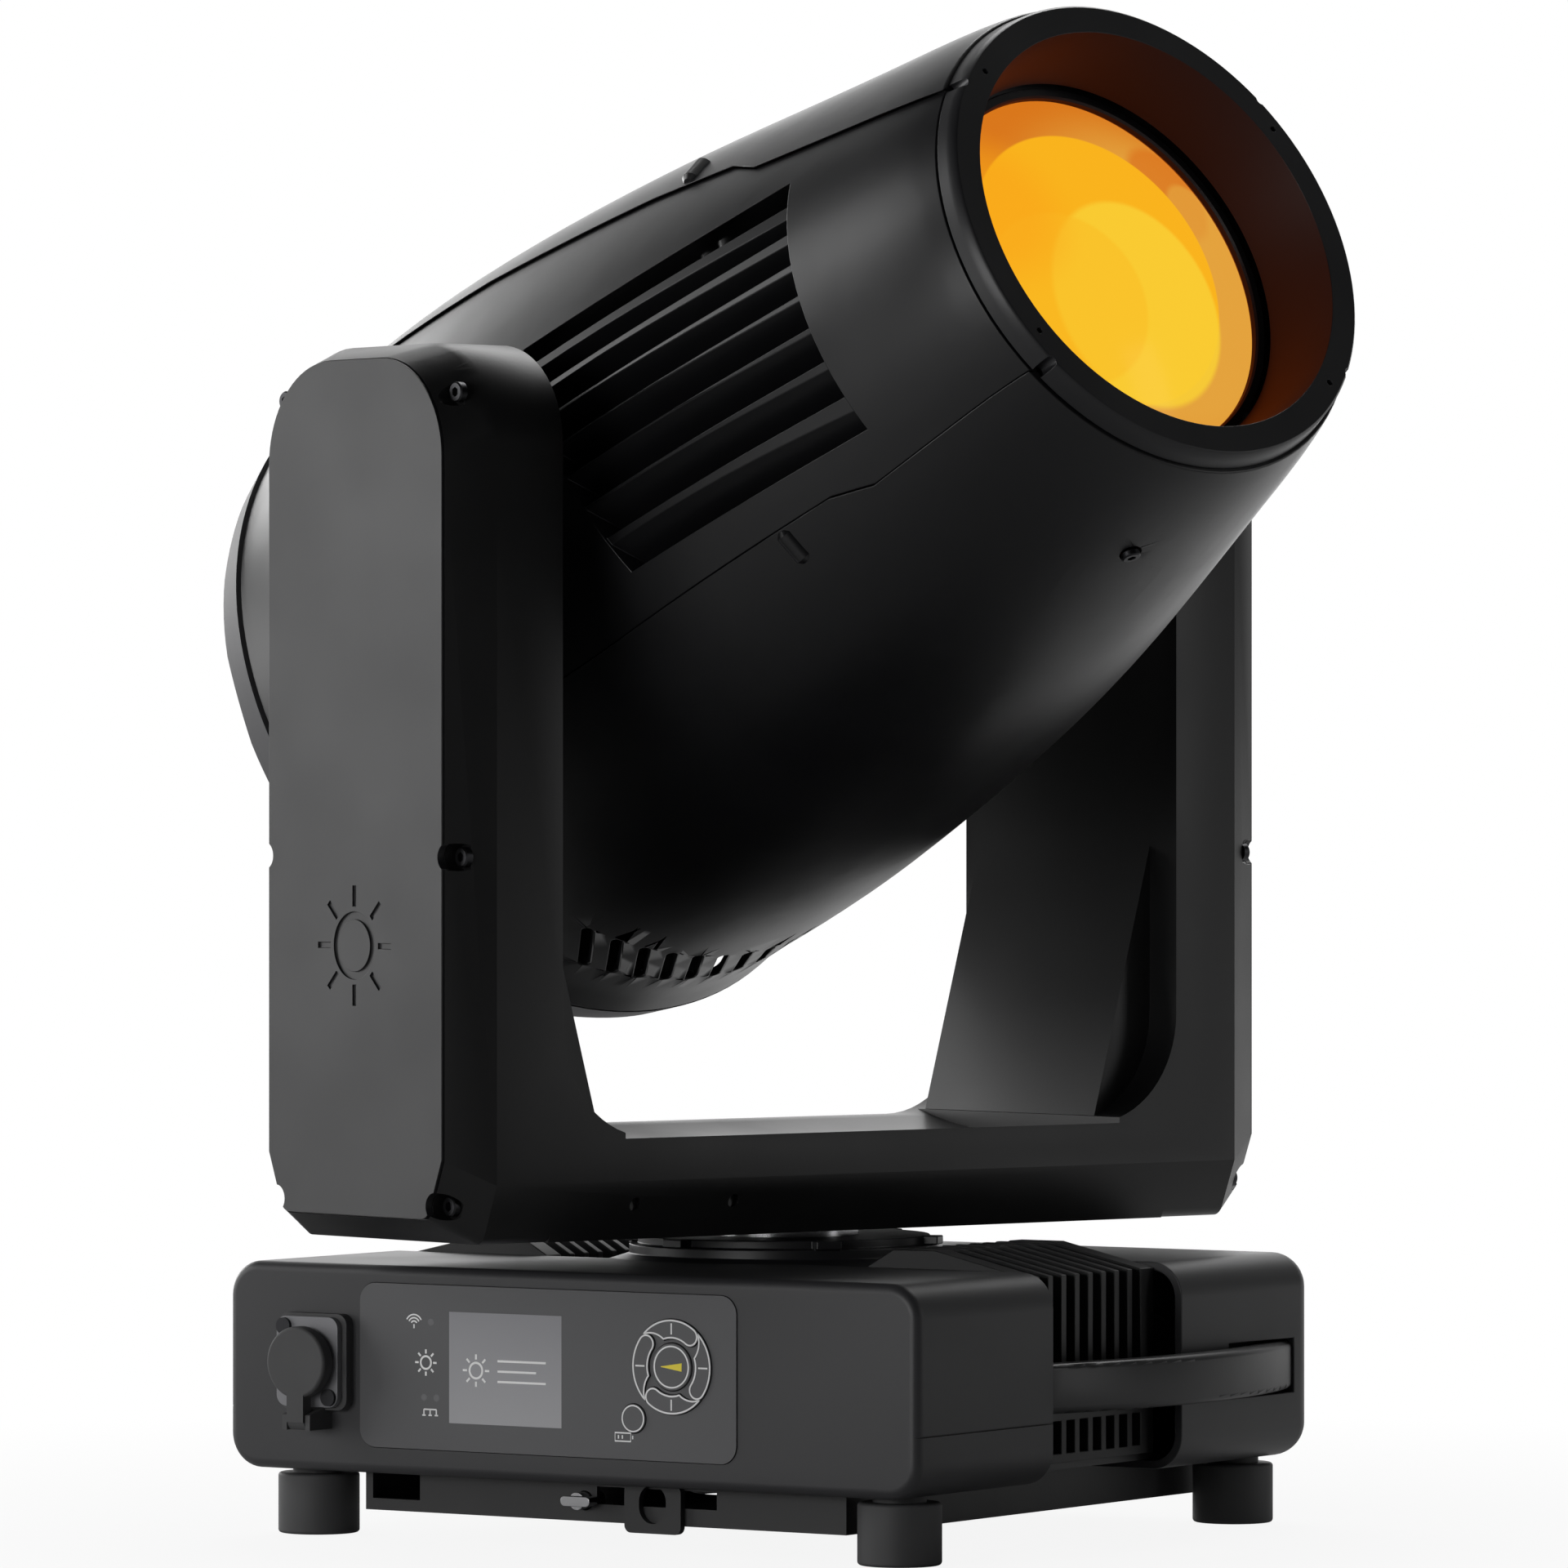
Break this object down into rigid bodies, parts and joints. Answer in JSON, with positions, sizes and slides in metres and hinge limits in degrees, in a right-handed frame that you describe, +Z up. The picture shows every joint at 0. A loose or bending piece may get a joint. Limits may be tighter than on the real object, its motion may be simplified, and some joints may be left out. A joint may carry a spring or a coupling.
{
  "type": "moving head light",
  "caption": "Moving head light: wide base with display and sockets, U-shaped yoke that pans, and a tapered louvred head with an amber front lens that tilts.",
  "frame": {"origin": "centre of the four bracket holes in the underside tray's lower face, on the pan axis", "axes": "+X to the right of someone facing the display, +Y to the back, +Z up"},
  "size_m": [0.4425, 0.3786, 0.5197],
  "materials": {
    "base_plastic": "satin moulded",
    "panel_plastic": "fine matte",
    "shell_plastic": "satin moulded",
    "dome_plastic": "satin moulded",
    "arm_plastic": "satin moulded",
    "cast_paint": "satin paint",
    "fin_paint": "satin paint",
    "sheet_paint": "powder coat",
    "black_rubber": "matte",
    "handle_plastic": "satin",
    "display_glass": "gloss",
    "status_glass": "gloss",
    "key_rubber": "matte",
    "amber_glass": "coated gloss",
    "socket_metal": "satin",
    "black_screw": "black oxide",
    "bright_steel": "brushed",
    "board_green": "solder mask",
    "plain_aluminium": "satin",
    "motor_steel": "satin",
    "lens_carrier": "gloss",
    "wheel_glass": "satin",
    "wheel_steel": "satin",
    "prism_carrier": "satin"
  },
  "bodies": {
    "base": {"front_cover": "base_plastic", "rear_cover": "base_plastic", "carry_handles": "handle_plastic", "chassis": "sheet_paint", "left_heatsink": "fin_paint", "right_heatsink": "fin_paint", "feet": "black_rubber", "underside_frame": "sheet_paint", "control_panel": "panel_plastic", "status_lights": "status_glass", "display_window": "display_glass", "main_board": "board_green", "front_socket": "socket_metal", "socket_gasket": "black_rubber", "rear_sockets": "socket_metal", "power_supply": "plain_aluminium", "base_screws": "black_screw", "pan_pedestal": "handle_plastic", "pan_tube": "bright_steel", "pan_pulley": "plain_aluminium"},
    "bracket_latch": {"bracket_latch": "bright_steel"},
    "nav_up_key": {"nav_up_key": "key_rubber"},
    "nav_right_key": {"nav_right_key": "key_rubber"},
    "nav_down_key": {"nav_down_key": "key_rubber"},
    "nav_left_key": {"nav_left_key": "key_rubber"},
    "enter_key": {"enter_key": "key_rubber"},
    "battery_key": {"battery_key": "key_rubber"},
    "socket_cap": {"socket_cap": "black_rubber"},
    "yoke": {"yoke_frame": "cast_paint", "left_arm_cover": "arm_plastic", "right_arm_cover": "arm_plastic", "arm_screws": "black_screw", "bearing_plate": "sheet_paint", "pan_bearing": "bright_steel", "pan_motor": "motor_steel", "pan_belt": "black_rubber", "tilt_motor": "motor_steel", "tilt_belt": "black_rubber", "tilt_bearings": "bright_steel"},
    "pan_motor_pulley": {"pan_motor_pulley": "plain_aluminium"},
    "tilt_motor_pulley": {"tilt_motor_pulley": "plain_aluminium"},
    "head": {"top_shell": "shell_plastic", "bottom_shell": "shell_plastic", "left_side_panel": "shell_plastic", "right_side_panel": "shell_plastic", "rear_dome": "dome_plastic", "front_bezel": "handle_plastic", "front_lens": "amber_glass", "head_frame": "plain_aluminium", "trunnions": "plain_aluminium", "tilt_pulley": "plain_aluminium", "guide_rods": "bright_steel", "light_engine": "plain_aluminium", "engine_heatsink": "plain_aluminium"},
    "focus_carriage": {"focus_carriage": "lens_carrier"},
    "zoom_carriage": {"zoom_carriage": "lens_carrier"},
    "colour_wheel": {"colour_wheel": "wheel_glass"},
    "gobo_wheel": {"gobo_wheel": "wheel_steel"},
    "rear_fan": {"rear_fan": "plain_aluminium"},
    "prism_arm": {"prism_arm": "prism_carrier"}
  },
  "joints": [
    {"name": "pan", "type": "hinge", "parent": "base", "child": "yoke", "pos_m": [0, 0, 0.1], "axis": [0, 0, 1], "range_deg": [-343.6, 196.4]},
    {"name": "tilt", "type": "hinge", "parent": "yoke", "child": "head", "pos_m": [0, 0, 0.344], "axis": [-0.2823, -0.9593, 0], "range_deg": [-69.9, 200.1]},
    {"name": "pan_motor_turn", "type": "hinge", "parent": "yoke", "child": "pan_motor_pulley", "pos_m": [0.03332, 0.1132, 0.11], "axis": [0, 0, 1], "range_deg": [-790, 1380]},
    {"name": "tilt_motor_turn", "type": "hinge", "parent": "yoke", "child": "tilt_motor_pulley", "pos_m": [-0.04659, -0.15829, 0.236], "axis": [-0.2823, -0.9593, 0], "range_deg": [-256, 728]},
    {"name": "focus_slide", "type": "slide", "parent": "head", "child": "focus_carriage", "axis": [0.8701, -0.2561, 0.421], "range_m": [-0.015, 0.015]},
    {"name": "zoom_slide", "type": "slide", "parent": "head", "child": "zoom_carriage", "axis": [0.8701, -0.2561, 0.421], "range_m": [-0.012, 0.024]},
    {"name": "colour_wheel_turn", "type": "hinge", "parent": "head", "child": "colour_wheel", "pos_m": [-0.03686, 0.01085, 0.28427], "axis": [0.8701, -0.2561, 0.421], "continuous": true},
    {"name": "gobo_wheel_turn", "type": "hinge", "parent": "head", "child": "gobo_wheel", "pos_m": [-0.02816, 0.00829, 0.28848], "axis": [0.8701, -0.2561, 0.421], "continuous": true},
    {"name": "prism_swing", "type": "hinge", "parent": "head", "child": "prism_arm", "pos_m": [-0.00684, -0.04802, 0.40017], "axis": [0.8701, -0.2561, 0.421], "range_deg": [-60, 0]},
    {"name": "fan_turn", "type": "hinge", "parent": "head", "child": "rear_fan", "pos_m": [-0.1427, 0.042, 0.27495], "axis": [0.8701, -0.2561, 0.421], "continuous": true},
    {"name": "nav_up_key_press", "type": "slide", "parent": "base", "child": "nav_up_key", "axis": [0, 1, 0], "range_m": [0, 0.001], "stiffness_N_per_m": 300, "springref_m": -0.0015},
    {"name": "nav_right_key_press", "type": "slide", "parent": "base", "child": "nav_right_key", "axis": [0, 1, 0], "range_m": [0, 0.001], "stiffness_N_per_m": 300, "springref_m": -0.0015},
    {"name": "nav_down_key_press", "type": "slide", "parent": "base", "child": "nav_down_key", "axis": [0, 1, 0], "range_m": [0, 0.001], "stiffness_N_per_m": 300, "springref_m": -0.0015},
    {"name": "nav_left_key_press", "type": "slide", "parent": "base", "child": "nav_left_key", "axis": [0, 1, 0], "range_m": [0, 0.001], "stiffness_N_per_m": 300, "springref_m": -0.0015},
    {"name": "enter_key_press", "type": "slide", "parent": "base", "child": "enter_key", "axis": [0, 1, 0], "range_m": [0, 0.001], "stiffness_N_per_m": 300, "springref_m": -0.0015},
    {"name": "battery_key_press", "type": "slide", "parent": "base", "child": "battery_key", "axis": [0, 1, 0], "range_m": [0, 0.001], "stiffness_N_per_m": 300, "springref_m": -0.0015},
    {"name": "cap_swing", "type": "hinge", "parent": "base", "child": "socket_cap", "pos_m": [-0.1035, -0.1428, 0.031], "axis": [1, 0, 0], "range_deg": [0, 150]},
    {"name": "latch_turn", "type": "hinge", "parent": "base", "child": "bracket_latch", "pos_m": [-0.002, -0.118, 0.007], "axis": [0, 1, 0], "range_deg": [0, 90]}
  ],
  "couplings": [
    {"joint": "pan_motor_turn", "follows": "pan", "ratio": -4},
    {"joint": "tilt_motor_turn", "follows": "tilt", "ratio": 3.625}
  ]
}
